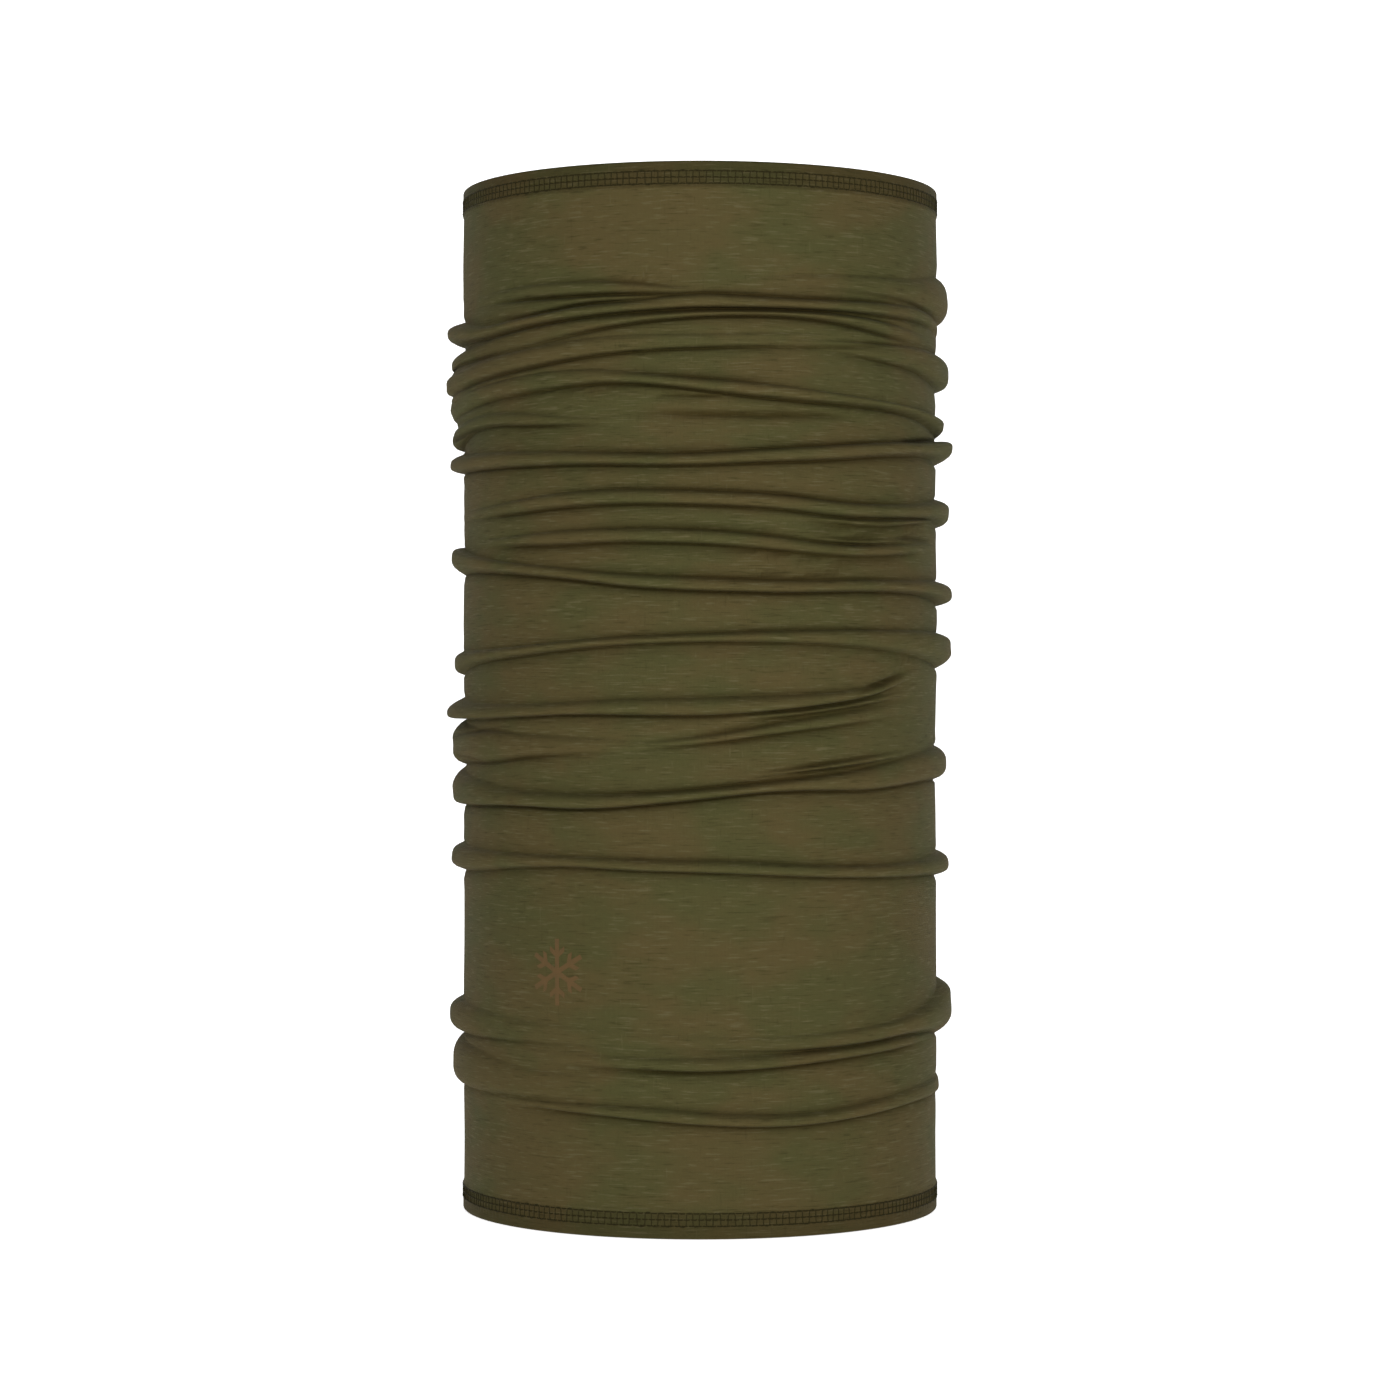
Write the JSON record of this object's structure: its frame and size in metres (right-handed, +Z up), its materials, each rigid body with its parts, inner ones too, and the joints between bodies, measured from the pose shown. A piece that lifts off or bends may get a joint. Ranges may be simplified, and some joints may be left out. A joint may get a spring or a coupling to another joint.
{
  "type": "neck gaiter",
  "caption": "Seamless knitted neck gaiter, an open tube standing gathered into soft folds, with turned coverstitched hems at both ends.",
  "frame": {"origin": "centre of the lower rim, in the plane that the gaiter stands on", "axes": "+Z up along the tube to the upper rim, -Y to the front where the printed emblem is, +X to the right seen from the front"},
  "size_m": [0.1664, 0.1664, 0.335],
  "materials": {
    "jersey": "matte olive merino single jersey with a melange of brown and green yarn",
    "thread": "dark olive polyester sewing thread, slight sheen",
    "print": "tone-on-tone heat transfer film, satin",
    "label": "blank off-white satin tape"
  },
  "bodies": {
    "lower_tube": {"knitted_tube": "jersey", "lower_hem_inner_needle_thread": "thread", "lower_hem_middle_needle_thread": "thread", "lower_hem_outer_needle_thread": "thread", "lower_hem_cover_thread": "thread", "lower_hem_looper_thread": "thread", "transfer_emblem": "print", "care_label": "label"},
    "upper_hem": {"upper_hem_inner_needle_thread": "thread", "upper_hem_middle_needle_thread": "thread", "upper_hem_outer_needle_thread": "thread", "upper_hem_cover_thread": "thread", "upper_hem_looper_thread": "thread"}
  },
  "joints": [
    {"name": "gather_slide", "type": "slide", "parent": "lower_tube", "child": "upper_hem", "axis": [0, 0, 1], "range_m": [-0.04, 0.09], "deforming": ["knitted_tube"]}
  ]
}
